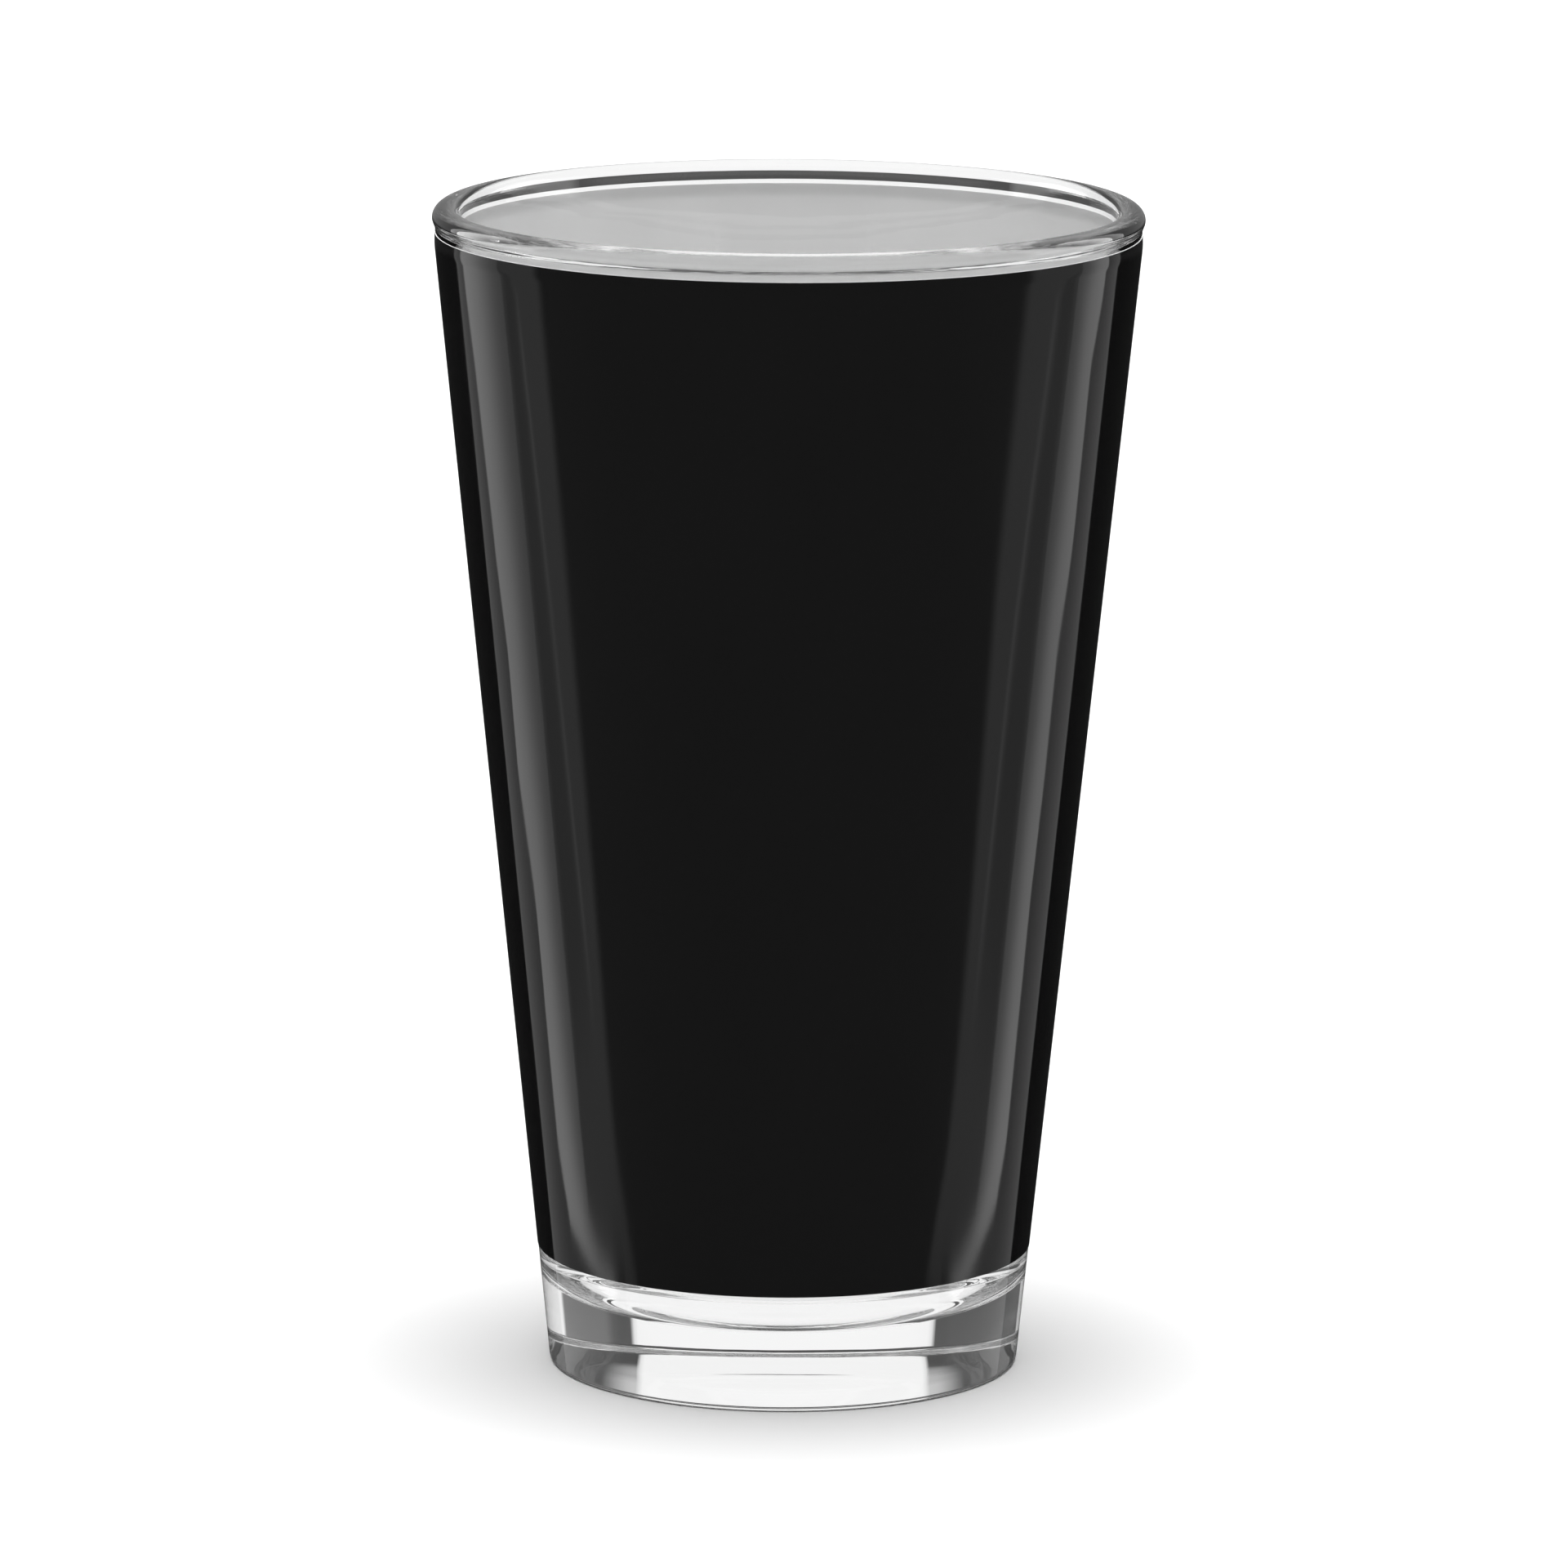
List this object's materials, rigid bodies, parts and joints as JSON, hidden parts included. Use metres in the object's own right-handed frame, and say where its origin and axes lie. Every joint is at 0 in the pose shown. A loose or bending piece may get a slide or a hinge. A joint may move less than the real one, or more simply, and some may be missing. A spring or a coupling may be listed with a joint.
{
  "type": "pint glass",
  "caption": "Conical pint glass with a rounded rim, a thick clear base and a glossy black coat printed round the outside of the wall, for serving or mixing drinks.",
  "frame": {"origin": "centre of the foot, on the plane the glass stands on", "axes": "+Z is the axis of revolution, from the foot up to the rim; the glass is the same all the way round, so +X and +Y are any two directions square to it"},
  "size_m": [0.089, 0.089, 0.1476],
  "materials": {
    "clear_glass": "clear pressed soda-lime glass, fire-polished smooth",
    "white_ink": "cured white ink film, satin, seen from inside through the glass",
    "black_ink": "cured black ink film, high gloss"
  },
  "bodies": {
    "root": {"glass_tumbler": "clear_glass", "white_undercoat": "white_ink", "black_print_coat": "black_ink"}
  },
  "joints": []
}
